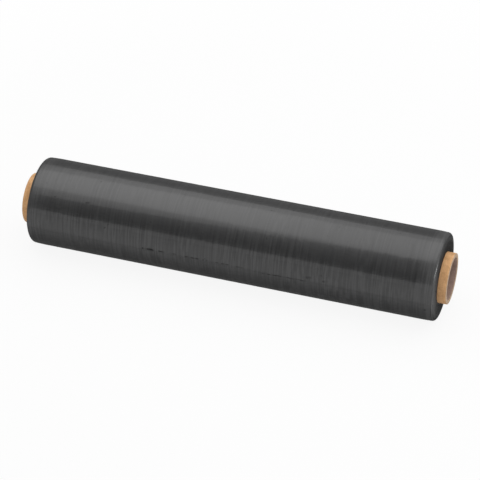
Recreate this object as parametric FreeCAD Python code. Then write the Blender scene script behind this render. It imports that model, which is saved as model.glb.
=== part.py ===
import FreeCAD, Part
import math
import os

# A roll of black stretch wrap lying on its side: plastic film wound tight on a longer paperboard
# core, whose two ends stand out of the film as stubs.
#
# Millimetres. X runs along the roll, Z is up, and the roll rests on the plane Z = 0. The origin is
# on that plane, below the middle of the core. The end at +X is the right end, and -Y is the front.

# The paperboard core
CORE_BORE = 50.8
CORE_WALL = 5.0
CORE_EDGE_BREAK = 0.4
STUB_LEFT = 13.5
STUB_RIGHT = 10.0

# The core's plies are wound as a spiral, and each ply leaves a fine open seam where it meets itself
SEAM_LEAD = 118.0
SEAM_WIDTH = 0.9
SEAM_DEPTH = 0.3

# The wound film
FILM_WIDTH = 500.0
FILM_DIAMETER = 105.8

# Each turn is a little narrower than the one below it, which leaves the roll's two rims rounded.
# Next to each rim the roll falls away gently.
RIM_ROUND = 4.0
SHOULDER_LENGTH = 14.0
SHOULDER_DROP = 0.4

# The last turn ends in a straight free edge along the front of the roll, a little below the level
# of the axis. Its step is drawn thicker than one film, as the edge holds some trapped air.
LAST_TURN_STEP = 0.2
FREE_EDGE_BELOW = 3.0

# Gauge lines: low narrow ridges right round the roll, where the film is a little thicker in each
# turn. Their spacing is uneven.
LINE_SPACING = 66.0
LINE_WIDTH = 2.6
LINE_HEIGHT = 0.12

# The end faces: groups of turns swell out of each face with a crease between them, and the face
# leans in towards the core
TURN_GROUP_PITCH = 2.8
TURN_GROUP_SWELL = 0.35
FACE_DISH = 0.6

# How far the spacing of lines and groups wanders, as a share of it
UNEVENNESS = 0.3

# The last turns are even: next to the rim they leave a plain ring of this width on each end face
LAST_TURNS = 1.5

# The soft film is pressed flat along the line that it lies on
FLAT_DEPTH = 0.6

# Worked out from the sizes above
CORE_RADIUS = CORE_BORE / 2 + CORE_WALL
CORE_LENGTH = STUB_LEFT + FILM_WIDTH + STUB_RIGHT
CORE_START = -CORE_LENGTH / 2
FILM_RADIUS = FILM_DIAMETER / 2
FILM_LEFT = CORE_START + STUB_LEFT
FILM_RIGHT = FILM_LEFT + FILM_WIDTH
FACE_OUTER_RADIUS = FILM_RADIUS - SHOULDER_DROP - RIM_ROUND - LAST_TURNS
AXIS_HEIGHT = FILM_RADIUS - FLAT_DEPTH

# An angle that never repeats evenly, in radians, for sizes that wander from one ring to the next
WANDER_ANGLE = math.pi * (3 - math.sqrt(5))

ALONG = FreeCAD.Vector(1, 0, 0)
ON_AXIS = FreeCAD.Vector(0, 0, 0)
LEFT = -1
RIGHT = 1


def at(x, radius):
    """A point of a lengthwise section: x along the roll, radius out from the axis."""
    return FreeCAD.Vector(x, 0, radius)


def wander(index):
    """An uneven value from -1 to 1 for one ring, the same at each build."""
    return math.sin(index * WANDER_ANGLE)


def uneven_places(start, end, pitch):
    """The places between start and end of rings that lie about a pitch apart."""
    count = max(2, round(abs(end - start) / pitch))
    step = (end - start) / count
    return [start + step * (k + UNEVENNESS * wander(k)) for k in range(1, count)]


def line(a, b):
    """A straight edge."""
    return Part.LineSegment(a, b).toShape()


def lines(points):
    """Straight edges from each point to the next."""
    return [line(a, b) for a, b in zip(points, points[1:])]


def turned(edges, centre, degrees):
    """The solid that a closed section sweeps as it turns about the roll's length at centre."""
    return Part.Face(Part.Wire(edges)).revolve(centre, ALONG, degrees)


def seam(radius, depth, start, length):
    """The V groove of a ply's seam, as a helix on the given radius along a stretch of the tube. A
    positive depth cuts inwards, as outside on the tube, and a negative one outwards. The V goes on
    past the surface by its own depth, where it is twice as wide."""
    helix = Part.makeHelix(SEAM_LEAD, length, radius)
    corners = [
        FreeCAD.Vector(radius - depth, 0, 0),
        FreeCAD.Vector(radius + depth, 0, -SEAM_WIDTH),
        FreeCAD.Vector(radius + depth, 0, SEAM_WIDTH),
    ]
    section = Part.makePolygon(corners + corners[:1])
    groove = Part.Wire(helix.Edges).makePipeShell([section], True, True)
    groove.rotate(ON_AXIS, FreeCAD.Vector(0, 1, 0), 90)
    groove.translate(FreeCAD.Vector(start, 0, 0))
    return groove


def core_tube():
    """The spiral-wound paperboard tube, cut square, with its edges broken by the knife and the
    plies' seams outside and in the bore."""
    start = FreeCAD.Vector(CORE_START, 0, 0)
    outside = Part.makeCylinder(CORE_RADIUS, CORE_LENGTH, start, ALONG)
    bore = Part.makeCylinder(CORE_BORE / 2, CORE_LENGTH, start, ALONG)
    tube = outside.cut(bore)
    edge_break = min(CORE_EDGE_BREAK, CORE_WALL / 3)
    rims = [e for e in tube.Edges if isinstance(e.Curve, Part.Circle)]
    tube = tube.makeChamfer(edge_break, rims)
    run_out = 2 * SEAM_WIDTH
    seams = [
        seam(CORE_BORE / 2, -SEAM_DEPTH, CORE_START - run_out, CORE_LENGTH + 2 * run_out),
        seam(CORE_RADIUS, SEAM_DEPTH, CORE_START - run_out, STUB_LEFT + 2 * run_out),
        seam(CORE_RADIUS, SEAM_DEPTH, FILM_RIGHT - run_out, STUB_RIGHT + 2 * run_out),
    ]
    return tube.cut(seams)


def end_face(face_x, side):
    """The points of an end face's section from the core out to the last turns: a crease between
    each two groups of turns, and the crown of each group midway."""
    lean = FACE_DISH / (FACE_OUTER_RADIUS - CORE_RADIUS)
    radii = uneven_places(CORE_RADIUS, FACE_OUTER_RADIUS, TURN_GROUP_PITCH)
    radii = [CORE_RADIUS] + radii + [FACE_OUTER_RADIUS]
    creases = [at(face_x - side * lean * (FACE_OUTER_RADIUS - r), r) for r in radii]
    points = creases[:1]
    for a, b in zip(creases, creases[1:]):
        points += [(a + b) / 2 + ALONG * side * TURN_GROUP_SWELL, b]
    return points


def inner_turns():
    """All turns but the last ones, with the swelling end faces."""
    section = end_face(FILM_LEFT, LEFT) + list(reversed(end_face(FILM_RIGHT, RIGHT)))
    return turned(lines(section + section[:1]), ON_AXIS, 360)


def rim(face_x, side, radius):
    """The section of a rim: a quarter of a circle from the end face, then the gentle shoulder.
    Gives its edges, its point on the face and the point where the shoulder ends."""
    crown = radius - SHOULDER_DROP
    on_face = at(face_x, crown - RIM_ROUND)
    on_side = at(face_x - side * RIM_ROUND, crown)
    shoulder_end = at(on_side.x - side * SHOULDER_LENGTH, radius)
    diagonal = RIM_ROUND * math.sqrt(0.5)
    on_round = at(on_side.x + side * diagonal, on_face.z + diagonal)
    quarter = Part.Arc(on_face, on_round, on_side).toShape()
    half_way = (on_side + shoulder_end) / 2 + FreeCAD.Vector(0, 0, SHOULDER_DROP / 4)
    shoulder = Part.Arc(on_side, half_way, shoulder_end).toShape()
    return [quarter, shoulder], on_face, shoulder_end


def gauge_lines(start, end, radius):
    """The points of the ridges that stand out of the given radius from start to end."""
    points = []
    for x in uneven_places(start, end, LINE_SPACING):
        crown = at(x, radius + LINE_HEIGHT)
        points += [at(x - LINE_WIDTH / 2, radius), crown, at(x + LINE_WIDTH / 2, radius)]
    return points


def outer_turns(step_in, degrees):
    """One half round of the last turns. The film comes in by its step in one full turn, so the
    halves of it have centres half a step apart, and together they make one spiral. The half that
    is off centre reaches into the turns below it, which leaves no gap between them."""
    radius = FILM_RADIUS - step_in
    left_rim, left_face, left_end = rim(FILM_LEFT, LEFT, radius)
    right_rim, right_face, right_end = rim(FILM_RIGHT, RIGHT, radius)
    ridges = gauge_lines(left_end.x, right_end.x, radius)
    seat_radius = FACE_OUTER_RADIUS - 2 * step_in
    left_seat = at(FILM_LEFT, seat_radius)
    right_seat = at(FILM_RIGHT, seat_radius)
    outside = lines([left_end] + ridges + [right_end])
    inside = lines([right_face, right_seat, left_seat, left_face])
    section = left_rim + outside + list(reversed(right_rim)) + inside
    return turned(section, FreeCAD.Vector(0, 0, -step_in / 2), degrees)


def film_roll():
    """The wound film as one solid, turned so that its free edge lies along the front, and pressed
    flat below."""
    over_the_top = outer_turns(0.0, -180)
    underneath = outer_turns(LAST_TURN_STEP, 180)
    roll = inner_turns().fuse([over_the_top, underneath]).removeSplitter()
    roll.rotate(ON_AXIS, ALONG, 90 + FREE_EDGE_BELOW)
    floor = Part.makeBox(CORE_LENGTH, FILM_DIAMETER, FILM_RADIUS)
    floor.translate(FreeCAD.Vector(CORE_START, -FILM_RADIUS, -AXIS_HEIGHT - FILM_RADIUS))
    return roll.cut(floor)


def write(node, shape):
    """Sets a piece on the floor and writes it as the STEP file of its node."""
    shape.translate(FreeCAD.Vector(0, 0, AXIS_HEIGHT))
    solids = len(shape.Solids)
    print(f"{node}: {solids} solid, {shape.Volume / 1000:.2f} cm3, valid {shape.isValid()}")
    shape.exportStep(f"parts/{node}.step")


os.makedirs("parts", exist_ok=True)
write("core_tube", core_tube())
write("film_roll", film_roll())
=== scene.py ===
"""The looks of a roll of black stretch wrap on its paperboard core.

Lengths in the size fields are in millimetres, as on a drawing, and METRES turns them into the
scene's units. X runs along the roll, Z is up and the front of the roll is towards -Y.
"""
import logging
import math
from collections.abc import Callable
from dataclasses import dataclass
from enum import Enum

import bmesh
import bpy
from mathutils import Matrix, Vector


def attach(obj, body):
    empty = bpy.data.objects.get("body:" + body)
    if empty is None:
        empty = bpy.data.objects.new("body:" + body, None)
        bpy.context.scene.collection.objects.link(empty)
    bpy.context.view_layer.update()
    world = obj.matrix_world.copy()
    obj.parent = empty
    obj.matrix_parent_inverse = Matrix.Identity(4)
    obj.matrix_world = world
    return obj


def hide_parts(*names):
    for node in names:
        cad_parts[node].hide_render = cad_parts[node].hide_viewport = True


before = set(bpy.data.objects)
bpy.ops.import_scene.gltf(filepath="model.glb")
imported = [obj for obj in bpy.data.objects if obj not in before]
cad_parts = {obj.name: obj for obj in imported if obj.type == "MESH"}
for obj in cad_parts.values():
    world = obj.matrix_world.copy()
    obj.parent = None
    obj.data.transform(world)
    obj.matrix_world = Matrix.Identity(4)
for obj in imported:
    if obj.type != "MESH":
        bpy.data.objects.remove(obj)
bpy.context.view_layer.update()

METRES = 0.001

# Places closer together than this, in metres, count as one
TINY = 0.01 * METRES

# A face whose normal points along X by at least this share is an end face
END_FACING = 0.9

FILM_IOR = 1.51
Socket = bpy.types.NodeSocket
Colour = tuple[float, float, float]
WHITE: Colour = (1.0, 1.0, 1.0)
PlaceTest = Callable[[Vector], bool]
PairTest = Callable[[Vector, Vector], bool]
log = logging.getLogger("stretch_wrap_roll")


class Side(Enum):
    """An end of the roll, with the direction in which it faces along X."""

    LEFT = -1
    RIGHT = 1


def wander(index: int) -> float:
    """Gives an uneven value from -1 to 1 for a ring's number, the same at each run."""
    return math.sin(index * math.pi * (3 - math.sqrt(5)))


def uneven_places(start: float, end: float, pitch: float, unevenness: float) -> list[float]:
    """Spreads rings unevenly between two places.

    Args:
        start: Where the stretch begins.
        end: Where it ends.
        pitch: The mean distance between rings.
        unevenness: How far a ring may be from its even place, as a share of the pitch.

    Returns:
        The places between start and end, in order.
    """
    count = max(2, round(abs(end - start) / pitch))
    step = (end - start) / count
    return [start + step * (k + unevenness * wander(k)) for k in range(1, count)]


def off_axis(point: Vector) -> float:
    """Gives a point's distance from the X axis, on which each piece is modelled."""
    return math.hypot(point.y, point.z)


class Workpiece:
    """A mesh in edit mode, with parts picked by their place and shaped by operators."""

    def __init__(self, name: str, vertices: int, radius: float, depth: float) -> None:
        """Adds a cylinder along X, centred on the origin, with a vertex column at the front.

        Args:
            name: The piece's name.
            vertices: The number of columns round the axis.
            radius: The cylinder's radius in metres.
            depth: Its length in metres.
        """
        bpy.ops.object.select_all(action="DESELECT")
        bpy.ops.mesh.primitive_cylinder_add(
            vertices=vertices, radius=radius, depth=depth, end_fill_type="NGON")
        self.obj = bpy.context.active_object
        self.obj.name = self.obj.data.name = name
        self.obj.rotation_euler = (0.0, math.pi / 2, 0.0)
        self.settle()
        bpy.ops.object.mode_set(mode="EDIT")
        self.select_nothing()

    def settle(self) -> None:
        """Puts the object's turn and place into its mesh."""
        bpy.ops.object.transform_apply(location=True, rotation=True, scale=True)

    def select_nothing(self) -> None:
        """Clears the selection in edit mode."""
        bpy.ops.mesh.select_all(action="DESELECT")

    def start_pick(self, mode: str) -> bmesh.types.BMesh:
        """Goes to a selection mode with nothing selected.

        Args:
            mode: The mode's name in edit mode.

        Returns:
            The mesh whose elements are then selected.
        """
        bpy.ops.mesh.select_mode(type=mode)
        self.select_nothing()
        return bmesh.from_edit_mesh(self.obj.data)

    def end_pick(self) -> None:
        """Hands the selection over to the operators."""
        bmesh.update_edit_mesh(self.obj.data, loop_triangles=False, destructive=False)

    def pick_vertices(self, test: PlaceTest) -> None:
        """Selects the vertices whose place passes a test.

        Args:
            test: Says of a vertex's place whether it is wanted.
        """
        mesh = self.start_pick("VERT")
        for vertex in mesh.verts:
            if test(vertex.co):
                vertex.select = True
        mesh.select_flush(True)
        self.end_pick()

    def pick_edges(self, test: PairTest) -> None:
        """Selects the edges whose two ends pass a test.

        Args:
            test: Says of the places of an edge's two ends whether the edge is wanted.
        """
        for edge in self.start_pick("EDGE").edges:
            if test(edge.verts[0].co, edge.verts[1].co):
                edge.select = True
        self.end_pick()

    def pick_end_faces(self) -> None:
        """Selects the faces at the piece's two ends."""
        for face in self.start_pick("FACE").faces:
            if abs(face.normal.x) > END_FACING:
                face.select = True
        self.end_pick()

    def ring_cut(self, x: float) -> None:
        """Cuts a ring of edges round the whole piece, at x in metres."""
        bpy.ops.mesh.select_all(action="SELECT")
        bpy.ops.mesh.bisect(plane_co=(x, 0.0, 0.0), plane_no=(1.0, 0.0, 0.0), threshold=1e-7)

    def scale_round(self, scale: float) -> None:
        """Scales the selection towards the X axis or away from it."""
        bpy.ops.transform.resize(value=(1.0, scale, scale), center_override=(0.0, 0.0, 0.0))

    def bevel_edges(self, offset: float, segments: int) -> None:
        """Bevels the selected edges, by an offset in metres."""
        bpy.ops.mesh.bevel(offset=offset, segments=segments, profile=0.5, affect="EDGES",
                           clamp_overlap=False)

    def finish(self, slot: str, node: str, sharp_from: float) -> bpy.types.Object:
        """Ends the modelling, and puts the piece in the frame in place of its node.

        Args:
            slot: The record's material slot; not used.
            node: The frame's node that the piece stands for.
            sharp_from: The angle in degrees from which an edge stays sharp.

        Returns:
            The finished object.
        """
        if self.obj.mode == "EDIT":
            bpy.ops.object.mode_set(mode="OBJECT")
        bpy.ops.object.select_all(action="DESELECT")
        self.obj.select_set(True)
        bpy.context.view_layer.objects.active = self.obj
        self.settle()
        bpy.ops.object.shade_smooth_by_angle(angle=math.radians(sharp_from))
        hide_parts(node)
        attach(self.obj, "root")
        return self.obj


class Nodes:
    """A shader's node tree, with short calls to add nodes and join them."""

    def __init__(self, owner: bpy.types.Material | bpy.types.World) -> None:
        """Starts an empty tree.

        Args:
            owner: The material or world whose tree it is.
        """
        owner.use_nodes = True
        self.tree = owner.node_tree
        self.tree.nodes.clear()

    def add(self, kind: str, inputs: dict[str | int, object] | None = None,
            **settings: object) -> bpy.types.Node:
        """Adds a node.

        Args:
            kind: The node's type.
            inputs: For each socket's name or number a value, or another node's output.
            settings: The node's own settings.

        Returns:
            The node.
        """
        node = self.tree.nodes.new(kind)
        for key, value in settings.items():
            setattr(node, key, value)
        for key, value in (inputs or {}).items():
            if isinstance(value, Socket):
                self.tree.links.new(value, node.inputs[key])
            else:
                node.inputs[key].default_value = value
        return node

    def maths(self, operation: str, first: object, second: object = 0.0,
              third: object = 0.0) -> Socket:
        """Adds a sum of up to three numbers or outputs, and gives the result's output."""
        node = self.add("ShaderNodeMath", {0: first, 1: second, 2: third}, operation=operation)
        return node.outputs[0]

    def mapped(self, value: object, low: float, high: float, to_low: float,
               to_high: float) -> Socket:
        """Maps the range from low to high smoothly onto that from to_low to to_high."""
        node = self.add("ShaderNodeMapRange", {0: value, 1: low, 2: high, 3: to_low, 4: to_high},
                        interpolation_type="SMOOTHSTEP")
        return node.outputs[0]

    def noise(self, vector: object, scale: float, detail: float,
              roughness: float = 0.5) -> Socket:
        """Adds a pattern from 0 to 1, with scale features to a unit and detail finer layers."""
        node = self.add("ShaderNodeTexNoise", {"Vector": vector, "Scale": scale,
                                               "Detail": detail, "Roughness": roughness})
        return node.outputs["Fac"]

    def mixed(self, share: object, first: object, second: object) -> Socket:
        """Mixes two colours or outputs, by the share of the second one."""
        node = self.add("ShaderNodeMix", {0: share, 6: first, 7: second}, data_type="RGBA")
        return node.outputs[2]


def rgba(colour: Colour) -> tuple[float, float, float, float]:
    """Adds the alpha of an opaque surface to a colour."""
    return (*colour, 1.0)


@dataclass(frozen=True)
class Grade:
    """A smooth change of one value as another one rises.

    Attributes:
        first: Where it starts: a place in metres, or a pattern's value.
        second: Where it ends.
        before: The value up to the start.
        after: The value from the end on.
    """

    first: float
    second: float
    before: float
    after: float

    def at(self, nodes: Nodes, place: object) -> Socket:
        """Adds the change to a tree, by the output of a place or pattern."""
        return nodes.mapped(place, self.first, self.second, self.before, self.after)


@dataclass(frozen=True)
class Finish:
    """A surface's finish, which each kind of surface makes up in its own way.

    Attributes:
        name: The material's name.
    """

    name: str

    def surface(self, nodes: Nodes) -> Socket:
        """Makes up the surface in a tree, and gives the shader's output."""
        raise NotImplementedError

    def build(self) -> bpy.types.Material:
        """Builds the material.

        Returns:
            The material.
        """
        material = bpy.data.materials.new(self.name)
        nodes = Nodes(material)
        nodes.add("ShaderNodeOutputMaterial", {0: self.surface(nodes)})
        return material


@dataclass(frozen=True)
class FilmPlace:
    """The outputs that say where a point of the film lies, in metres.

    Attributes:
        across: The distance across the turns, along X on the side and inwards on an end face.
        x: The place along the roll.
        y: The place from the front to the back.
        z: The height above the roll's axis.
        depth: The depth below the outermost turn.
    """

    across: Socket
    x: Socket
    y: Socket
    z: Socket
    depth: Socket


@dataclass(frozen=True)
class Streaks:
    """A pattern of streaks that run round the roll.

    Attributes:
        pitch: The streaks' spacing in millimetres.
        reach: How far a streak runs round the roll, in millimetres.
        detail: How many finer layers the pattern has.
    """

    pitch: float
    reach: float
    detail: float = 0.0

    def at(self, nodes: Nodes, place: FilmPlace) -> Socket:
        """Adds the pattern to a tree.

        Args:
            nodes: The tree.
            place: Where a point of the film lies.

        Returns:
            The pattern's output, from 0 to 1.
        """
        fine = 1.0 / (self.pitch * METRES)
        coarse = 1.0 / (self.reach * METRES)
        vector = nodes.add("ShaderNodeCombineXYZ", {
            0: nodes.maths("MULTIPLY", place.across, fine),
            1: nodes.maths("MULTIPLY", place.y, coarse),
            2: nodes.maths("MULTIPLY", place.z, coarse)})
        return nodes.noise(vector.outputs[0], 1.0, self.detail)


@dataclass(frozen=True)
class EdgeShadeMark:
    """A stretch along the front, just above the free edge, painted dark as shade.

    Attributes:
        start: Where it starts along X, in millimetres.
        end: Where it ends along X.
        above: How far it lies above the free edge.
        half_height: Half of its height.
        strength: How dark it is.
        fade_in: The distance over which it starts.
        fade_out: The distance over which it ends.
    """

    start: float
    end: float
    above: float
    half_height: float
    strength: float
    fade_in: float = 1.5
    fade_out: float = 2.5

    def at(self, nodes: Nodes, place: FilmPlace, edge: float) -> Socket:
        """Adds the mark to a tree.

        Args:
            nodes: The tree.
            place: Where a point of the film lies.
            edge: The height of the free edge above the axis, in millimetres.

        Returns:
            The mark's output, which is 0 outside it.
        """
        off = nodes.maths("ABSOLUTE", nodes.maths("SUBTRACT", place.z,
                                                  (edge + self.above) * METRES))
        line = nodes.mapped(off, 0.0, self.half_height * METRES, self.strength, 0.0)
        opening = nodes.mapped(place.x, (self.start - self.fade_in) * METRES,
                               self.start * METRES, 0.0, 1.0)
        closing = nodes.mapped(place.x, self.end * METRES,
                               (self.end + self.fade_out) * METRES, 1.0, 0.0)
        return nodes.maths("MULTIPLY", nodes.maths("MULTIPLY", opening, closing), line)


@dataclass(frozen=True)
class WoundFilm(Finish):
    """The finish of tight turns of black film: a soft haze under a clear glossy face.

    The streaks run round the roll, on its side and on its end faces alike.

    Attributes:
        deep: The colour where the turns lie closest.
        milky: The colour where a little air lies between them.
        painted_sheen_colour: The lighter colour painted in its dullest places, a painted sheen.
        roughness: The haze's roughness.
        rough_spread: How much the streaks change it.
        specular: How strong the haze's reflection is, where 0.5 is full.
        coat: The weight of the clear face.
        coat_roughness: How blurred the clear face is.
        streak_height: The height of the streaks' relief in millimetres.
        short_heights: The least and greatest height of the short streaks' relief.
        lean: How far the relief rises towards the core, in millimetres to a millimetre.
        calm: How strong the streaks are, by the height above the axis.
        painted_core_shade: How much of the colour is left under painted shade, by the depth below
            the outermost turn.
        edge_height: How high above the axis the free edge lies, in millimetres.
        axis_height: The height of the roll's axis in metres.
        film_radius: The film's radius in metres.
        edge_shade_marks: The stretches along the free edge that are painted dark as shade.
        dull_and_sheen_zones: How dull the film turns beside the rims, by the place along X, where
            its colour is also painted lighter as a sheen.
        fine: The fine streaks.
        wide: The wider streaks between them.
        short: The short streaks.
        patches: The patches in which the streaks are stronger.
        uneven: The patches in which the short streaks show.
        fine_share: The share of the fine streaks, of which the wider ones have the rest.
        short_share: How strong the short streaks are beside the others.
        patch_strength: How strong the streaks are, by the patches' pattern.
        uneven_strength: How strong the short streaks are, by their patches' pattern.
        dull_sheen_streaks: How the streaks change the dullness and its painted sheen.
        swing: How far the streaks' pattern swings about its middle.
        spot_scale: How many features to a metre the small spots' pattern has.
        spots: How dark the spots are, by that pattern.
        ragged_scale: How many features to a metre the pattern has that breaks up the marks.
        ragged: How much of a mark is left, by that pattern.
        painted_core_shadow_colour: The colour of the painted shade beside the core.
        painted_edge_shade_colour: The colour of the painted shade along the free edge.
        edge_shade_roughness: What the stretches of painted shade add to the roughness.
    """

    deep: Colour
    milky: Colour
    painted_sheen_colour: Colour
    roughness: float
    rough_spread: float
    specular: float
    coat: float
    coat_roughness: float
    streak_height: float
    short_heights: tuple[float, float]
    lean: float
    calm: Grade
    painted_core_shade: Grade
    edge_height: float
    axis_height: float
    film_radius: float
    edge_shade_marks: tuple[EdgeShadeMark, ...] = ()
    dull_and_sheen_zones: tuple[Grade, ...] = ()
    fine: Streaks = Streaks(0.9, 70.0, 1.0)
    wide: Streaks = Streaks(2.2, 45.0)
    short: Streaks = Streaks(2.2, 15.0)
    patches: Streaks = Streaks(28.0, 60.0, 1.0)
    uneven: Streaks = Streaks(35.0, 28.0, 1.0)
    fine_share: float = 0.6
    short_share: float = 0.55
    patch_strength: Grade = Grade(0.35, 0.65, 0.45, 1.6)
    uneven_strength: Grade = Grade(0.42, 0.60, 0.0, 1.0)
    dull_sheen_streaks: Grade = Grade(0.36, 0.64, 0.55, 1.45)
    swing: float = 0.14
    spot_scale: float = 150.0
    spots: Grade = Grade(0.735, 0.80, 0.0, 0.5)
    ragged_scale: float = 220.0
    ragged: Grade = Grade(0.38, 0.56, 0.1, 1.0)
    painted_core_shadow_colour: Colour = (0.0015, 0.0015, 0.0015)
    painted_edge_shade_colour: Colour = (0.002, 0.002, 0.002)
    edge_shade_roughness: float = 0.6

    def place(self, nodes: Nodes) -> FilmPlace:
        """Works out where a point of the film lies.

        Args:
            nodes: The material's tree.

        Returns:
            The outputs of its place.
        """
        split = nodes.add("ShaderNodeSeparateXYZ", {
            0: nodes.add("ShaderNodeTexCoord").outputs["Object"]})
        x, y, z = split.outputs[:3]
        height = nodes.maths("SUBTRACT", z, self.axis_height)
        radial = nodes.add("ShaderNodeCombineXYZ", {1: y, 2: height})
        length = nodes.add("ShaderNodeVectorMath", {0: radial.outputs[0]}, operation="LENGTH")
        depth = nodes.maths("SUBTRACT", self.film_radius, length.outputs["Value"])
        across = nodes.maths("MULTIPLY_ADD", depth, nodes.maths("SIGN", x), x)
        return FilmPlace(across, x, y, height, depth)

    def edge_shade_and_spots(self, nodes: Nodes, place: FilmPlace) -> Socket:
        """Marks the stretches of painted shade along the free edge, and a few small dark spots.

        Args:
            nodes: The material's tree.
            place: Where a point of the film lies.

        Returns:
            The marks' output, from 0 to 1.
        """
        vector = nodes.add("ShaderNodeCombineXYZ", {
            0: place.x, 1: place.y, 2: place.z}).outputs[0]
        shade_and_spots = self.spots.at(nodes, nodes.noise(vector, self.spot_scale, 1.0))
        ragged = self.ragged.at(nodes, nodes.noise(vector, self.ragged_scale, 2.0))
        front = nodes.maths("LESS_THAN", place.y, 0.0)
        shown = nodes.maths("MULTIPLY", front, ragged)
        for shade_dash in self.edge_shade_marks:
            stretch = nodes.maths("MULTIPLY", shade_dash.at(nodes, place, self.edge_height), shown)
            shade_and_spots = nodes.maths("MAXIMUM", shade_and_spots, stretch)
        return nodes.maths("MINIMUM", shade_and_spots, 1.0)

    def dull_and_sheen(self, nodes: Nodes, place: FilmPlace, streaks: Socket) -> Socket:
        """Works out how dull the film is beside the rims, and so how much lighter sheen is painted
        there.

        Args:
            nodes: The material's tree.
            place: Where a point of the film lies.
            streaks: The output of the long streaks.

        Returns:
            The dullness's output.
        """
        dull_sheen = 0.0
        for zone in self.dull_and_sheen_zones:
            dull_sheen = nodes.maths("ADD", dull_sheen, zone.at(nodes, place.x))
        return nodes.maths("MULTIPLY", dull_sheen, self.dull_sheen_streaks.at(nodes, streaks))

    def surface(self, nodes: Nodes) -> Socket:
        """Makes up the surface.

        Args:
            nodes: The material's tree.

        Returns:
            The shader's output.
        """
        place = self.place(nodes)

        # The long streaks are fine and wider ones together, and the short ones come in patches
        long = nodes.maths(
            "MULTIPLY_ADD", self.wide.at(nodes, place), 1 - self.fine_share,
            nodes.maths("MULTIPLY", self.fine.at(nodes, place), self.fine_share))
        short = self.short.at(nodes, place)
        uneven = self.uneven_strength.at(nodes, self.uneven.at(nodes, place))
        calm = self.calm.at(nodes, place.z)
        strength = nodes.maths("MULTIPLY", calm, self.patch_strength.at(
            nodes, self.patches.at(nodes, place)))
        swing = nodes.maths("MULTIPLY", nodes.maths("SUBTRACT", long, 0.5), strength)
        blotch = nodes.maths("MULTIPLY", nodes.maths("SUBTRACT", short, 0.5), calm)
        swing = nodes.maths("MULTIPLY_ADD", blotch,
                            nodes.maths("MULTIPLY", uneven, self.short_share), swing)

        # The painted shade along the free edge darkens the streaks' colour and the dull zones
        # paint it lighter as a sheen beside the rims; both take the gloss away
        shade_and_spots = self.edge_shade_and_spots(nodes, place)
        unmarked = nodes.maths("SUBTRACT", 1.0, shade_and_spots)
        dull_sheen = self.dull_and_sheen(nodes, place, long)
        share = nodes.maths("MULTIPLY", nodes.mapped(swing, -self.swing, self.swing, 0.0, 1.0),
                            unmarked)
        colour = nodes.mixed(share, rgba(self.deep), rgba(self.milky))
        # Painted sheen: beside the rims the colour is painted lighter
        colour = nodes.mixed(dull_sheen, colour, rgba(self.painted_sheen_colour))
        # Painted shade: on an end face the colour darkens to near black towards the core
        colour = nodes.mixed(self.painted_core_shade.at(nodes, place.depth), rgba(self.painted_core_shadow_colour), colour)
        # Painted shade: the colour turns near black in dashes along the free edge
        colour = nodes.mixed(shade_and_spots, colour, rgba(self.painted_edge_shade_colour))
        rough = nodes.mapped(swing, -self.swing, self.swing, self.roughness - self.rough_spread,
                             self.roughness + self.rough_spread)
        rough = nodes.maths("MULTIPLY_ADD", shade_and_spots, self.edge_shade_roughness, rough)
        clear = nodes.maths("MULTIPLY", unmarked, nodes.maths("SUBTRACT", 1.0, dull_sheen))

        # The relief is that of the streaks, and on an end face it rises towards the core
        height = nodes.maths("MULTIPLY", long, self.streak_height)
        short_height = nodes.mapped(uneven, 0.0, 1.0, *self.short_heights)
        height = nodes.maths("MULTIPLY_ADD", short, short_height, height)
        height = nodes.maths("MULTIPLY_ADD", place.depth, self.lean / METRES, height)
        relief = nodes.add("ShaderNodeBump", {
            "Strength": 1.0, "Distance": METRES, "Height": height})
        shader = nodes.add("ShaderNodeBsdfPrincipled", {
            "Base Color": colour, "Roughness": rough, "Normal": relief.outputs[0],
            "Specular IOR Level": self.specular, "IOR": FILM_IOR,
            "Coat Weight": nodes.maths("MULTIPLY", self.coat, clear),
            "Coat Roughness": self.coat_roughness, "Coat Normal": relief.outputs[0]})
        return shader.outputs[0]


@dataclass(frozen=True)
class CoreBoard(Finish):
    """The finish of wound paperboard: mottled fibres with a faint grain.

    Attributes:
        light: The colour of its lighter fibres.
        dark: The colour of its darker fibres.
        grain: How much longer the fibres' marks are round the core than along it.
        relief: The height of the fibres' relief in millimetres.
        fibre_scale: How many fibres there are to a metre.
        cloud_scale: How many clouds of lighter fibres there are to a metre.
        fibre_share: The share of single fibres in the pattern, of which clouds have the rest.
        contrast: How light the board is, by that pattern.
        roughness: How rough the board is, by the fibres' pattern.
    """

    light: Colour
    dark: Colour
    grain: float
    relief: float
    fibre_scale: float = 1400.0
    cloud_scale: float = 130.0
    fibre_share: float = 0.55
    contrast: Grade = Grade(0.35, 0.65, 0.0, 1.0)
    roughness: Grade = Grade(0.3, 0.7, 0.92, 0.8)

    def surface(self, nodes: Nodes) -> Socket:
        """Makes up the surface.

        Args:
            nodes: The material's tree.

        Returns:
            The shader's output.
        """
        place = nodes.add("ShaderNodeTexCoord").outputs["Object"]
        stretched = nodes.add("ShaderNodeMapping", {
            0: place, 3: (1.0, 1.0 / self.grain, 1.0 / self.grain)})
        fibres = nodes.noise(stretched.outputs[0], self.fibre_scale, 3.0, 0.65)
        clouds = nodes.noise(place, self.cloud_scale, 2.0)
        pattern = nodes.maths("MULTIPLY_ADD", clouds, 1 - self.fibre_share,
                              nodes.maths("MULTIPLY", fibres, self.fibre_share))
        colour = nodes.mixed(self.contrast.at(nodes, pattern), rgba(self.dark), rgba(self.light))
        bump = nodes.add("ShaderNodeBump", {
            "Strength": 1.0, "Distance": self.relief * METRES, "Height": fibres})
        shader = nodes.add("ShaderNodeBsdfPrincipled", {
            "Base Color": colour, "Roughness": self.roughness.at(nodes, fibres),
            "Normal": bump.outputs[0]})
        return shader.outputs[0]


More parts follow.
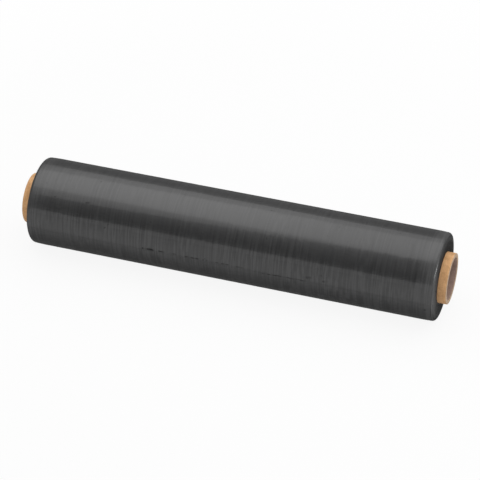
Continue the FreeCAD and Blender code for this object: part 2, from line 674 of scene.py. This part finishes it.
@dataclass(frozen=True)
class WhiteFloor(Finish):
    """The finish of a white floor that keeps a soft shadow near the roll.

    Attributes:
        white: The floor's colour.
        seen_glow: How much of the floor that is seen is plain white near the roll.
        mirrored_glow: How much of it is plain white in a glossy or clear surface.
        fade_start: The distance in metres at which it turns to plain white.
        fade_end: The distance at which it is plain white.
    """

    white: float
    seen_glow: float
    mirrored_glow: float
    fade_start: float
    fade_end: float

    def surface(self, nodes: Nodes) -> Socket:
        """Makes up the surface.

        Args:
            nodes: The material's tree.

        Returns:
            The shader's output.
        """
        path = nodes.add("ShaderNodeLightPath")
        seen = path.outputs["Is Camera Ray"]
        mirrored = nodes.maths("MAXIMUM", path.outputs["Is Glossy Ray"],
                               path.outputs["Is Transmission Ray"])
        place = nodes.add("ShaderNodeTexCoord").outputs["Object"]
        far = nodes.add("ShaderNodeVectorMath", {0: place}, operation="LENGTH")
        fade = nodes.mapped(far.outputs["Value"], self.fade_start, self.fade_end,
                            self.seen_glow, 1.0)
        share = nodes.maths("MULTIPLY_ADD", mirrored, self.mirrored_glow,
                            nodes.maths("MULTIPLY", seen, fade))
        diffuse = nodes.add("ShaderNodeBsdfDiffuse", {"Color": rgba((self.white,) * 3)})
        glow = nodes.add("ShaderNodeEmission", {"Color": rgba(WHITE), "Strength": 1.0})
        mix = nodes.add("ShaderNodeMixShader", {
            0: share, 1: diffuse.outputs[0], 2: glow.outputs[0]})
        return mix.outputs[0]


@dataclass(frozen=True)
class Ramp:
    """A change of brightness across a card.

    Attributes:
        grade: The change, along a place that is made up of x and y.
        x: How much x counts in that place.
        y: How much y counts in it.
    """

    grade: Grade
    x: float = 0.0
    y: float = 0.0

    def at(self, nodes: Nodes, x: Socket, y: Socket) -> Socket:
        """Adds the change to a tree, by the outputs of x and y."""
        part = nodes.maths("MULTIPLY", x, self.x)
        return self.grade.at(nodes, nodes.maths("MULTIPLY_ADD", y, self.y, part))


@dataclass(frozen=True)
class GlowingCard(Finish):
    """The finish of a card that only shows in reflections.

    Attributes:
        parts: The parts of its brightness, which are added up.
        factors: The shares of that sum which are left along the card.
    """

    parts: tuple[Ramp, ...]
    factors: tuple[Ramp, ...] = ()

    def surface(self, nodes: Nodes) -> Socket:
        """Makes up the surface.

        Args:
            nodes: The material's tree.

        Returns:
            The shader's output.
        """
        place = nodes.add("ShaderNodeTexCoord").outputs["Object"]
        split = nodes.add("ShaderNodeSeparateXYZ", {0: place})
        x, y = split.outputs[0], split.outputs[1]
        grey = self.parts[0].at(nodes, x, y)
        for part in self.parts[1:]:
            grey = nodes.maths("ADD", grey, part.at(nodes, x, y))
        for factor in self.factors:
            grey = nodes.maths("MULTIPLY", grey, factor.at(nodes, x, y))
        glow = nodes.add("ShaderNodeEmission", {"Color": rgba(WHITE), "Strength": grey})
        return glow.outputs[0]


@dataclass
class CoreTube:
    """The spiral-wound paperboard core.

    Attributes:
        bore: Its bore.
        wall: Its wall.
        length: Its length.
        edge_break: How much the knife took off its edges.
        seam_lead: How far a ply's seam runs along the core in one turn.
        seam_width: The seam's width.
        seam_depth: The seam's depth.
        axis_height: The height of its axis.
        columns: The number of faces round it.
        rings: The number of faces along it, divided by two.
    """

    bore: float = 50.8
    wall: float = 5.0
    length: float = 523.5
    edge_break: float = 0.4
    seam_lead: float = 118.0
    seam_width: float = 0.9
    seam_depth: float = 0.3
    axis_height: float = 52.3
    columns: int = 96
    rings: int = 100

    def radius(self) -> float:
        """Gives the outside radius."""
        return self.bore / 2 + self.wall

    def model(self) -> Workpiece:
        """Models the tube: a cylinder, hollowed, with broken edges and its seams twisted in.

        Returns:
            The piece, still centred on the origin.
        """
        outer = self.radius() * METRES
        inner = self.bore / 2 * METRES
        half = self.length / 2 * METRES
        piece = Workpiece("paperboard_core", self.columns, outer, 2 * half)
        flatness = math.cos(math.pi / self.columns)
        piece.pick_end_faces()
        bpy.ops.mesh.inset(thickness=self.wall * METRES * flatness)
        bpy.ops.mesh.delete(type="FACE")
        near = self.edge_break * METRES / 2
        piece.pick_edges(lambda a, b: all(
            off_axis(p) < inner + near and abs(p.x) > half - near for p in (a, b)))
        bpy.ops.mesh.bridge_edge_loops()
        piece.pick_edges(lambda a, b: abs(a.x - b.x) < near
                         and abs(off_axis(a) - off_axis(b)) < near)
        piece.bevel_edges(self.edge_break * METRES, 2)
        self.seam(piece, outer, -1.0)
        self.seam(piece, inner, 1.0)
        for cuts in (self.rings - 1, 1):
            piece.pick_edges(lambda a, b: abs(a.x - b.x) > 2 * near)
            bpy.ops.mesh.subdivide(number_cuts=cuts)
        self.twist(piece)
        return piece

    def seam(self, piece: Workpiece, radius: float, outwards: float) -> None:
        """Presses a straight seam into one wall, along its whole length.

        Args:
            piece: The tube.
            radius: The wall's radius in metres.
            outwards: 1 to press the seam away from the axis, and -1 towards it.
        """
        near = self.edge_break * METRES / 2
        half_width = self.seam_width / 2 * METRES

        def on_column(p: Vector) -> bool:
            """Says whether a point is on the wall's column at the front."""
            return p.y < 0 and abs(p.z) < near and abs(abs(p.y) - radius) < near

        piece.pick_edges(lambda a, b: on_column(a) and on_column(b) and abs(a.x - b.x) > near)
        piece.bevel_edges(half_width, 2)
        piece.pick_vertices(lambda p: on_column(p) and abs(p.z) < half_width / 2)
        bpy.ops.transform.translate(value=(0.0, -outwards * self.seam_depth * METRES, 0.0))

    def twist(self, piece: Workpiece) -> None:
        """Twists the tube so that its straight seams become spirals.

        Args:
            piece: The tube, centred on the origin.
        """
        bpy.ops.object.mode_set(mode="OBJECT")
        modifier = piece.obj.modifiers.new("twist", "SIMPLE_DEFORM")
        modifier.deform_method = "TWIST"
        modifier.deform_axis = "X"
        modifier.angle = 2 * math.pi * self.length / self.seam_lead
        bpy.ops.object.modifier_apply(modifier=modifier.name)

    def dress(self, piece: Workpiece) -> bpy.types.Object:
        """Gives each surface its board, and sets the tube in the roll.

        Args:
            piece: The twisted tube.

        Returns:
            The finished object.
        """
        kraft = CoreBoard(name="kraft_outside", light=(0.81, 0.465, 0.215),
                          dark=(0.585, 0.31, 0.127), grain=3.0, relief=0.06)
        cut = CoreBoard(name="cut_ends", light=(0.57, 0.41, 0.27), dark=(0.43, 0.29, 0.18),
                        grain=1.0, relief=0.12)
        chip = CoreBoard(name="chipboard_bore", light=(0.405, 0.277, 0.223),
                         dark=(0.305, 0.203, 0.163), grain=3.0, relief=0.05)
        for board in (kraft, cut, chip):
            piece.obj.data.materials.append(board.build())
        middle = (self.bore / 2 + self.wall / 2) * METRES
        cut_from = (self.length / 2 - self.edge_break) * METRES + TINY
        for face in piece.obj.data.polygons:
            spot = face.center
            if abs(spot.x) > cut_from:
                face.material_index = 1
            elif off_axis(spot) < middle:
                face.material_index = 2
        piece.obj.location = (0.0, 0.0, self.axis_height * METRES)
        return piece.finish(slot="paperboard", node="core_tube", sharp_from=30.0)

    def build(self) -> bpy.types.Object:
        """Builds the core, and gives the finished object."""
        return self.dress(self.model())


@dataclass
class FilmRoll:
    """The wound film.

    Attributes:
        width: The film's width.
        diameter: The roll's diameter.
        left: Where the film starts along X.
        core_radius: The radius on which it is wound.
        rim_round: The radius of its rounded rims.
        rim_faces: The number of faces across a rim's round.
        shoulder_length: How far the fall beside a rim reaches.
        shoulder_drop: How deep that fall is.
        last_turn_step: The step at the free edge.
        free_edge_below: How far the free edge lies below the level of the axis, in degrees.
        edge_slope_width: The width over which the step falls.
        line_spacing: The mean spacing of the gauge lines.
        line_width: The width of a gauge line.
        line_height: The height of a gauge line.
        line_margin: How far the fine rings stay from a gauge line.
        group_pitch: The mean width of a group of turns on an end face.
        group_swell: How far a group swells out.
        fold_relief: How high or low the finer folds in a group lie.
        face_dish: How far the end face leans in at the core.
        last_turns: The width of the plain ring of the last turns.
        unevenness: How far spacings wander, as a share.
        ring_pitch: The mean spacing of the fine rings.
        ring_relief: How high or low a fine ring lies.
        shoulder_pitch: The mean spacing of the fine rings beside the rims.
        axis_height: The height of the axis above the floor.
        dull_sheen_left: How dull the film turns towards the left rim, with its colour painted
            lighter as a sheen, and how wide that zone is.
        dull_sheen_right: The same for the right rim.
        edge_shade_marks: The stretches along the free edge that are painted dark as shade.
        columns: The number of faces round the roll.
    """

    width: float = 500.0
    diameter: float = 105.8
    left: float = -248.25
    core_radius: float = 30.4
    rim_round: float = 4.0
    rim_faces: int = 10
    shoulder_length: float = 14.0
    shoulder_drop: float = 0.4
    last_turn_step: float = 0.2
    free_edge_below: float = 3.0
    edge_slope_width: float = 0.8
    line_spacing: float = 66.0
    line_width: float = 2.6
    line_height: float = 0.08
    line_margin: float = 0.5
    group_pitch: float = 2.8
    group_swell: float = 0.35
    fold_relief: float = 0.05
    face_dish: float = 0.6
    last_turns: float = 1.5
    unevenness: float = 0.3
    ring_pitch: float = 4.2
    ring_relief: float = 0.02
    shoulder_pitch: float = 1.6
    axis_height: float = 52.3
    dull_sheen_left: tuple[float, float] = (0.28, 26.0)
    dull_sheen_right: tuple[float, float] = (0.62, 24.0)
    # Dashes of painted shade along the free edge
    edge_shade_marks: tuple[EdgeShadeMark, ...] = (
        EdgeShadeMark(-100.0, -87.5, 2.3, 2.4, 1.3), EdgeShadeMark(-80.0, -74.5, 2.3, 1.6, 0.8),
        EdgeShadeMark(-66.0, -60.0, 2.4, 1.6, 0.8), EdgeShadeMark(-47.0, -32.0, 2.2, 1.5, 0.9),
        EdgeShadeMark(-25.0, -21.0, 2.2, 1.5, 0.8), EdgeShadeMark(-16.0, -8.0, 2.1, 1.5, 0.8),
        EdgeShadeMark(-2.0, 5.0, 2.1, 1.5, 0.7), EdgeShadeMark(16.0, 23.0, 1.9, 1.5, 0.5),
        EdgeShadeMark(48.0, 63.0, -0.5, 1.3, 0.8), EdgeShadeMark(63.0, 97.0, 0.4, 1.2, 0.7),
        EdgeShadeMark(101.0, 106.0, 6.0, 3.5, 0.55), EdgeShadeMark(121.0, 126.0, 5.0, 2.5, 0.6))
    columns: int = 240

    def radius(self) -> float:
        """Gives the film's outside radius."""
        return self.diameter / 2

    def half(self) -> float:
        """Gives half of the film's width."""
        return self.width / 2

    def face_outer_radius(self) -> float:
        """Gives the radius at which the swelling groups of an end face end."""
        return self.radius() - self.shoulder_drop - self.rim_round - self.last_turns

    def face_profile(self) -> list[tuple[float, float]]:
        """Lists the rings of an end face, from the last turns in to the core.

        Returns:
            For each ring its radius and how far it stands out of the face.
        """
        outer = self.face_outer_radius()
        lean = self.face_dish / (outer - self.core_radius)
        inner = uneven_places(self.core_radius, outer, self.group_pitch, self.unevenness)
        creases = [self.core_radius, *inner, outer]
        rings = []
        for number, (low, high) in enumerate(zip(creases, creases[1:])):

            # A crease, then three rings over the group, of which the middle one is its crown
            for part in (0.0, 0.25, 0.5, 0.75):
                radius = low + (high - low) * part
                swell = self.group_swell * (1 - abs(2 * part - 1))
                fine = self.fold_relief * wander(7 * number + round(4 * part))
                rings.append((radius, swell + fine * min(1.0, 4 * part) - lean * (outer - radius)))
        rings.append((outer, 0.0))
        return list(reversed(rings))

    def side_radius(self, from_middle: float) -> float:
        """Gives the radius that the fall beside each rim leaves.

        Args:
            from_middle: The distance from the middle of the film's width.

        Returns:
            The radius.
        """
        flat = self.half() - self.rim_round - self.shoulder_length
        share = min(1.0, max(0.0, (from_middle - flat) / self.shoulder_length))
        return self.radius() - self.shoulder_drop * share ** 2

    def model_faces(self, piece: Workpiece) -> None:
        """Insets the rings of both end faces, opens the bore and joins its two ends.

        Args:
            piece: The plain cylinder.
        """
        flatness = math.cos(math.pi / self.columns)
        here = self.radius()
        face_x = self.half() * METRES
        piece.pick_end_faces()
        for radius, _ in self.face_profile():
            bpy.ops.mesh.inset(thickness=(here - radius) * METRES * flatness)
            here = radius
        bpy.ops.mesh.delete(type="FACE")
        for radius, stands in self.face_profile():
            wanted = radius * METRES
            for side in Side:
                x = side.value * face_x
                piece.pick_vertices(
                    lambda p: abs(off_axis(p) - wanted) < 2 * TINY and abs(p.x - x) < TINY)
                bpy.ops.transform.translate(value=(side.value * stands * METRES, 0.0, 0.0))
        bore = self.core_radius * METRES
        piece.pick_edges(lambda a, b: all(abs(off_axis(p) - bore) < 2 * TINY for p in (a, b)))
        bpy.ops.mesh.bridge_edge_loops()

    def model_side(self, piece: Workpiece) -> None:
        """Rounds the rims, cuts rings along the side and sets each to its own radius.

        Args:
            piece: The piece with its end faces.
        """
        edge = self.radius() * METRES
        face_x = self.half() * METRES
        piece.pick_vertices(lambda p: off_axis(p) > edge - TINY)
        shrink = 1 - self.shoulder_drop / self.radius()
        piece.scale_round(shrink)
        piece.pick_edges(lambda a, b: all(
            off_axis(p) > edge * shrink - TINY and abs(p.x) > face_x - TINY
            for p in (a, b)) and abs(a.x - b.x) < TINY)
        piece.bevel_edges(self.rim_round * METRES, self.rim_faces)
        for x, _ in self.side_rings():
            piece.ring_cut(x * METRES)
        limit = self.face_outer_radius() * METRES
        for x, radius in self.side_rings():
            scale = radius / (self.radius() - self.shoulder_drop)
            place = x * METRES
            piece.pick_vertices(lambda p: abs(p.x - place) < TINY and off_axis(p) > limit)
            piece.scale_round(scale)

    def side_rings(self) -> list[tuple[float, float]]:
        """Lists the rings of the side between its two rims.

        Returns:
            For each ring its place from the middle and its radius.
        """
        end = self.half() - self.rim_round
        flat = end - self.shoulder_length
        places = (uneven_places(-end, -flat, self.shoulder_pitch, self.unevenness)
                  + uneven_places(-flat, flat, self.ring_pitch, self.unevenness)
                  + uneven_places(flat, end, self.shoulder_pitch, self.unevenness))
        rings = [(x, self.side_radius(abs(x)) + self.ring_relief * wander(11 * number))
                 for number, x in enumerate(places)]
        for x in uneven_places(-flat, flat, self.line_spacing, self.unevenness):
            low, high = x - self.line_width / 2, x + self.line_width / 2
            rings = [ring for ring in rings
                     if not low - self.line_margin < ring[0] < high + self.line_margin]
            rings += [(low, self.radius()), (x, self.radius() + self.line_height),
                      (high, self.radius())]
        return sorted(rings)

    def model_free_edge(self, piece: Workpiece) -> None:
        """Parts the turns at the free edge and draws the half round below it in as a spiral.

        Args:
            piece: The round piece.
        """
        near = 5 * TINY
        below = math.radians(self.free_edge_below)
        inner = self.face_outer_radius() * METRES
        out_y, out_z = -math.cos(below), -math.sin(below)

        def on_column(p: Vector) -> bool:
            """Says whether a point is on the column where the free edge lies."""
            return (abs(p.z * out_y - p.y * out_z) < near and p.y < 0
                    and off_axis(p) > inner - near)

        piece.pick_edges(lambda a, b: on_column(a) and on_column(b) and (a - b).length > near)
        piece.bevel_edges(self.edge_slope_width / 2 * METRES, 1)
        half_step = self.last_turn_step / 2
        scale = 1 - half_step / self.radius()
        piece.pick_vertices(
            lambda p: p.z * out_y - p.y * out_z > near and off_axis(p) > inner + near)
        piece.scale_round(scale)
        shift = half_step * METRES
        bpy.ops.transform.translate(value=(0.0, -out_y * shift, -out_z * shift))

    def press_flat(self, piece: Workpiece) -> None:
        """Presses the underside flat along the line that the roll lies on.

        Args:
            piece: The piece, centred on the axis.
        """
        floor = -self.axis_height * METRES
        piece.pick_vertices(lambda p: p.z < floor)
        bpy.ops.transform.resize(value=(1.0, 1.0, 0.0), center_override=(0.0, 0.0, floor))

    def model(self) -> Workpiece:
        """Models the wound film from a cylinder.

        Returns:
            The piece, centred on the origin.
        """
        piece = Workpiece("wound_film", self.columns, self.radius() * METRES,
                          self.width * METRES)
        self.model_faces(piece)
        self.model_side(piece)
        self.turn_to_free_edge(piece)
        self.model_free_edge(piece)
        self.press_flat(piece)
        return piece

    def turn_to_free_edge(self, piece: Workpiece) -> None:
        """Turns the piece so that a column of vertices lies on the free edge.

        Args:
            piece: The round piece.
        """
        bpy.ops.object.mode_set(mode="OBJECT")
        step = 360.0 / self.columns
        piece.obj.rotation_euler = (math.radians(self.free_edge_below % step), 0.0, 0.0)
        piece.settle()
        bpy.ops.object.mode_set(mode="EDIT")

    def dull_and_sheen_zones(self) -> tuple[Grade, ...]:
        """Says where the film turns dull beside its two rims, with its colour painted lighter as a
        sheen.

        Returns:
            For each rim the change of its dullness along X.
        """
        left, right = self.left, self.left + self.width
        dull_and_sheen, width = self.dull_sheen_left
        left_zone = Grade(left * METRES, (left + width) * METRES, dull_and_sheen, 0.0)
        dull_and_sheen, width = self.dull_sheen_right
        right_zone = Grade((right - width) * METRES, right * METRES, 0.0, dull_and_sheen)
        return left_zone, right_zone

    def dress(self, piece: Workpiece) -> bpy.types.Object:
        """Gives the side and the end faces their finish, and sets the film in place.

        Args:
            piece: The modelled film.

        Returns:
            The finished object.
        """
        axis = self.axis_height * METRES
        radius = self.radius() * METRES
        edge = -self.radius() * math.sin(math.radians(self.free_edge_below))
        # The side's colour is painted lighter beside the rims as a sheen, most at the right rim
        side = WoundFilm(
            name="film_side", deep=(0.013, 0.013, 0.0135), milky=(0.035, 0.035, 0.0355),
            painted_sheen_colour=(0.075, 0.075, 0.0755), roughness=0.33, rough_spread=0.008,
            specular=0.5, coat=0.4, coat_roughness=0.08, streak_height=0.01,
            short_heights=(0.02, 0.112), lean=0.0, calm=Grade(0.016, 0.030, 1.0, 0.3),
            painted_core_shade=Grade(0.0, 1.0, 1.0, 1.0), edge_height=edge, axis_height=axis,
            film_radius=radius, edge_shade_marks=self.edge_shade_marks, dull_and_sheen_zones=self.dull_and_sheen_zones())
        # The end faces' colour is painted darker towards the core, as shade
        ends = WoundFilm(
            name="film_ends", deep=(0.008, 0.008, 0.0084), milky=(0.050, 0.050, 0.0505),
            painted_sheen_colour=(0.02, 0.02, 0.02), roughness=0.48, rough_spread=0.06,
            specular=0.35, coat=0.0, coat_roughness=0.2, streak_height=0.08,
            short_heights=(0.0, 0.0), lean=0.15, calm=Grade(0.016, 0.030, 1.0, 1.0),
            painted_core_shade=Grade(0.004, 0.019, 1.0, 0.1), edge_height=edge, axis_height=axis,
            film_radius=radius)
        bpy.ops.object.mode_set(mode="OBJECT")
        for finish in (side, ends):
            piece.obj.data.materials.append(finish.build())
        rounding = (self.half() - self.rim_round / 2) * METRES
        inside = (self.radius() - self.shoulder_drop - self.rim_round / 2) * METRES
        for face in piece.obj.data.polygons:
            spot = face.center
            if abs(spot.x) > rounding and off_axis(spot) < inside:
                face.material_index = 1
        piece.obj.location = ((self.left + self.half()) * METRES, 0.0, axis)
        return piece.finish(slot="black_film", node="film_roll", sharp_from=24.0)

    def build(self) -> bpy.types.Object:
        """Builds the film, and gives the finished object."""
        return self.dress(self.model())


@dataclass
class Studio:
    """The floor, the soft light and the cards round the roll.

    Angles are measured round the roll's axis, from the level front up and over to the back.
    Lengths are in metres.

    Attributes:
        height: The height of the softbox above the floor.
        ends: The places of its two ends along X.
        glow: How bright its face is.
        panels: For each panel of the softbox its first and last angle in degrees, and its share
            of the glow.
        axis_height: The height of the roll's axis.
        room_light: How bright the even light of the room is.
        floor_size: The length of the floor's sides.
        front_low: The angle at which the lower edge of the front card is seen.
        front_off: How far in front of the roll that edge stands.
        front_rise: The front card's brightness at its lower and upper edge.
        front_ends: What is added to it towards its two ends.
        face_parts: The softbox face's brightness, which falls off in front in two steps.
        face_factors: What is left of it behind, to the left end and towards the right.
        painted_shadow_fall: The brightness under the roll's front, from near to far, with the
            roll's shadow painted dark near it.
        painted_light_step: The brightness of the table beyond the right end, painted light out of
            the roll's shadow.
        painted_shade_fall: What is left of that towards the back, a painted shade.
        card_gap: How far the cards stay below the softbox.
        back_near: How far behind the roll the back card stands on the floor.
        back_reach: How far it reaches to the left and to the right.
        reach: How far the side cards reach to the front and to the back.
        left_gap: How far the left card stands off the softbox's end.
        table_ends: The places of the table cards' ends along X.
        right_start: Where the second table card starts along X.
        table_depth: How far the table cards reach from front to back.
        table_lift: The height of one table card above the floor or the card below it.
        back_grey: The brightness of the back card.
        side_grey: The brightness of the cards at both sides.
        lamp_grey: The brightness of the small side light.
        lamp_low: The place of its lower front corner.
        lamp_size: Its length from front to back, and its height.
    """

    height: float = 1.45
    ends: tuple[float, float] = (-1.10, 2.0)
    glow: float = 1.20
    panels: tuple[tuple[float, float, float], ...] = (
        (50.0, 67.0, 0.55), (67.0, 127.5, 1.0), (127.5, 146.0, 0.5))
    axis_height: float = 0.0523
    room_light: float = 0.50
    floor_size: float = 60.0
    front_low: float = 12.8
    front_off: float = 1.3
    front_rise: tuple[float, float] = (0.02, 0.245)
    front_ends: tuple[Ramp, ...] = (
        Ramp(Grade(-0.95, -0.72, 0.25, 0.0), x=1.0), Ramp(Grade(0.30, 0.50, 0.0, 0.7), x=1.0))
    face_parts: tuple[Ramp, ...] = (
        Ramp(Grade(-0.50, -0.45, 0.26, 1.32), x=-0.95, y=1.0),
        Ramp(Grade(-0.62, -0.42, 0.0, 1.03), y=1.0))
    face_factors: tuple[Ramp, ...] = (
        Ramp(Grade(1.10, 1.18, 1.0, 0.60), x=-0.25, y=1.0),
        Ramp(Grade(0.10, 0.90, 1.0, 0.95), y=1.0),
        Ramp(Grade(-1.10, -0.80, 0.6, 1.0), x=1.0),
        Ramp(Grade(-0.35, -0.12, 1.0, 0.79), x=1.0))
    painted_shadow_fall: Ramp = Ramp(Grade(-0.135, -0.035, 0.86, 0.12), y=1.0)
    painted_light_step: Ramp = Ramp(Grade(0.265, 0.283, 0.12, 0.9), x=1.0)
    painted_shade_fall: Ramp = Ramp(Grade(0.015, 0.075, 1.0, 0.2), y=1.0)
    card_gap: float = 0.002
    back_near: float = 0.45
    back_reach: float = 2.0
    reach: float = 1.6
    left_gap: float = 0.01
    table_ends: tuple[float, float] = (-1.2, 1.2)
    right_start: float = 0.256
    table_depth: float = 2.05
    table_lift: float = 0.0005
    back_grey: float = 0.2
    side_grey: float = 0.3
    lamp_grey: float = 9.0
    lamp_low: tuple[float, float, float] = (1.3, -0.80, 0.46)
    lamp_size: tuple[float, float] = (0.60, 0.42)

    def floor(self) -> None:
        """Lays the white floor."""
        bpy.ops.object.select_all(action="DESELECT")
        bpy.ops.mesh.primitive_plane_add(size=self.floor_size, location=(0.0, 0.0, 0.0))
        floor = bpy.context.active_object
        floor.name = "studio_floor"
        finish = WhiteFloor(name="white_floor", white=0.82, seen_glow=0.90, mirrored_glow=0.1,
                            fade_start=0.40, fade_end=0.80)
        floor.data.materials.append(finish.build())

    def overhead(self, degrees: float) -> float:
        """Gives the y at which the softbox's face is seen at an angle from the axis."""
        rise = self.height - self.axis_height
        return -rise / math.tan(math.radians(degrees))

    def panel(self, first: float, last: float, share: float) -> None:
        """Hangs one panel of the softbox over the roll.

        Args:
            first: The angle of its front edge in degrees.
            last: The angle of its back edge.
            share: Its share of the glow.
        """
        front, back = self.overhead(first), self.overhead(last)
        left, right = self.ends
        lamp = bpy.data.lights.new("softbox", "AREA")
        lamp.shape = "RECTANGLE"
        lamp.size = right - left
        lamp.size_y = back - front
        lamp.energy = share * self.glow * math.pi * lamp.size * lamp.size_y
        piece = bpy.data.objects.new("softbox", lamp)
        piece.location = ((left + right) / 2, (front + back) / 2, self.height)
        piece.visible_camera = False
        piece.visible_glossy = False
        bpy.context.scene.collection.objects.link(piece)

    def card(self, finish: GlowingCard, low: Vector, along: Vector, up: Vector) -> None:
        """Sets up a card that only shows in reflections.

        Args:
            finish: Its finish, which also names it.
            low: Its first lower corner in metres.
            along: The way from there along its lower edge.
            up: The way from there along its side edge.
        """
        bpy.ops.object.select_all(action="DESELECT")
        bpy.ops.mesh.primitive_plane_add(size=1.0, location=(0.5, 0.5, 0.0))
        card = bpy.context.active_object
        bpy.ops.object.transform_apply(location=True, rotation=True, scale=True)
        card.name = finish.name
        turn = Matrix((along, up, along.cross(up))).transposed().to_4x4()
        card.matrix_world = Matrix.Translation(low) @ turn
        bpy.ops.object.transform_apply(location=True, rotation=True, scale=True)
        card.data.materials.append(finish.build())
        card.visible_camera = False
        card.visible_diffuse = False
        card.visible_shadow = False
        card.visible_transmission = False

    def plain_card(self, name: str, grey: float, low: Vector, along: Vector,
                   up: Vector) -> None:
        """Sets up a card of one plain brightness, placed as card does."""
        self.card(GlowingCard(name, (Ramp(Grade(0.0, 1.0, grey, grey)),)), low, along, up)

    def cards(self) -> None:
        """Sets cards in front of the roll, behind it, beside it, over it and under it."""
        left, right = self.ends
        front, back = self.overhead(self.panels[0][0]), self.overhead(self.panels[-1][1])
        top = self.height - self.card_gap
        width = Vector((right - left, 0, 0))
        rise = self.front_off * math.tan(math.radians(self.front_low))
        low = Vector((left, -self.front_off, self.axis_height + rise))
        high = Vector((left, front, top))
        graded = Ramp(Grade(low.y, high.y, *self.front_rise), y=1.0)
        self.card(GlowingCard("front_card", (graded, *self.front_ends)), low, width, high - low)
        self.card(GlowingCard("softbox_face", self.face_parts, self.face_factors), high, width,
                  Vector((0, back - front, 0)))
        self.plain_card("back_card", self.back_grey, Vector((-self.back_reach, self.back_near, 0)),
                        Vector((2 * self.back_reach, 0, 0)),
                        Vector((0, back - self.back_near, top)))
        depth = Vector((0, self.table_depth, 0))
        start, end = self.table_ends
        # Sheets on the floor that show only in reflections, with the roll's shadow painted on them
        self.card(GlowingCard("table_card", (self.painted_shadow_fall,)),
                  Vector((start, -self.reach, self.table_lift)), Vector((end - start, 0, 0)),
                  depth)
        self.card(GlowingCard("table_right", (self.painted_light_step,), (self.painted_shade_fall,)),
                  Vector((self.right_start, -self.reach, 2 * self.table_lift)),
                  Vector((end - self.right_start, 0, 0)), depth)
        for name, x in (("right_card", right), ("left_card", left - self.left_gap)):
            self.plain_card(name, self.side_grey, Vector((x, -self.reach, 0)),
                            Vector((0, 2 * self.reach, 0)), Vector((0, 0, top)))
        length, height = self.lamp_size
        self.plain_card("side_light", self.lamp_grey, Vector(self.lamp_low),
                        Vector((0, length, 0)), Vector((0, 0, height)))

    def world(self) -> None:
        """Fills the room with even light and shows it white."""
        world = bpy.data.worlds.new("room")
        bpy.context.scene.world = world
        nodes = Nodes(world)
        path = nodes.add("ShaderNodeLightPath")
        mirrored = nodes.maths("MAXIMUM", path.outputs["Is Glossy Ray"],
                               path.outputs["Is Transmission Ray"])
        shown = nodes.maths("MAXIMUM", path.outputs["Is Camera Ray"], mirrored)
        strength = nodes.mapped(shown, 0.0, 1.0, self.room_light, 1.0)
        light = nodes.add("ShaderNodeBackground", {"Color": rgba(WHITE), "Strength": strength})
        nodes.add("ShaderNodeOutputWorld", {0: light.outputs[0]})

    def build(self) -> None:
        """Sets up the whole studio."""
        self.floor()
        for first, last, share in self.panels:
            self.panel(first, last, share)
        self.cards()
        self.world()


@dataclass
class Viewpoint:
    """The camera that sees the roll as the photograph does.

    Attributes:
        target: The point of the roll that it is aimed past, in millimetres.
        elevation: How far it looks down, in degrees.
        turn: How far it stands towards the right end, in degrees.
        distance: How far off it is, in millimetres.
        offset_right: How far it is moved to its right, in millimetres.
        offset_up: How far it is moved up across its view, in millimetres.
        focal_pixels: Its focal length in the picture's pixels.
        picture_pixels: The picture's width in pixels.
        sensor_width: The width of its sensor in millimetres.
    """

    target: tuple[float, float, float] = (1.75, 0.0, 52.3)
    elevation: float = 37.577
    turn: float = 17.619
    distance: float = 2797.4
    offset_right: float = 1.82
    offset_up: float = -2.92
    focal_pixels: float = 2358.1
    picture_pixels: float = 480.0
    sensor_width: float = 36.0

    def build(self) -> bpy.types.Object:
        """Sets up the camera.

        Returns:
            The camera.
        """
        rise, turn = math.radians(self.elevation), math.radians(self.turn)
        back = Vector((math.sin(turn) * math.cos(rise), -math.cos(turn) * math.cos(rise),
                       math.sin(rise)))
        right = (-back).cross(Vector((0.0, 0.0, 1.0))).normalized()
        up = right.cross(-back)
        place = (Vector(self.target) + back * self.distance + right * self.offset_right
                 + up * self.offset_up)
        data = bpy.data.cameras.new("camera")
        data.sensor_width = self.sensor_width
        data.lens = self.focal_pixels / self.picture_pixels * self.sensor_width
        data.clip_start = 0.1
        data.clip_end = 100.0
        camera = bpy.data.objects.new("camera", data)
        camera.location = place * METRES
        camera.rotation_euler = (-back).to_track_quat("-Z", "Y").to_euler()
        bpy.context.scene.collection.objects.link(camera)
        bpy.context.scene.camera = camera
        return camera


def main() -> None:
    """Builds the roll, the studio and the camera."""
    logging.basicConfig(level=logging.INFO, format="%(name)s: %(message)s")
    for builder in (CoreTube(), FilmRoll()):
        piece = builder.build()
        log.info("%s: %d vertices, %d faces", piece.name, len(piece.data.vertices),
                 len(piece.data.polygons))
    Studio().build()
    Viewpoint().build()
    bpy.context.scene.view_settings.view_transform = "Standard"


if __name__ == "__main__":
    main()
